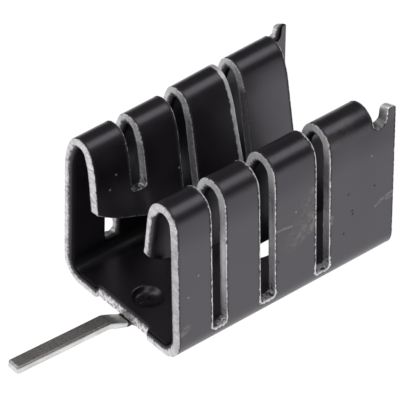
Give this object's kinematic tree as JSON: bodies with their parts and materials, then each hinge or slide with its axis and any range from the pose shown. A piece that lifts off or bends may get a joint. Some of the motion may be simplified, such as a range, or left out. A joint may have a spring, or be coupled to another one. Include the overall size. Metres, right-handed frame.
{
  "type": "heat sink",
  "caption": "Folded sheet heat sink for a flat power transistor: a black U channel with slotted fins folded over inward and a tinned solder pin staked under its base.",
  "frame": {"origin": "centre of the screw hole on the underside of the base", "axes": "+Z along the screw hole, from the base towards the fins; +Y along the channel towards the ears, away from the solder pin; +X across the channel"},
  "size_m": [0.0126, 0.0285, 0.0137],
  "materials": {
    "black_sheet": "satin black finish on both faces, sheared edges bare and bright",
    "tinned_pin": "satin tin plating"
  },
  "bodies": {
    "root": {"finned_channel": "black_sheet", "solder_pin": "tinned_pin"}
  },
  "joints": []
}
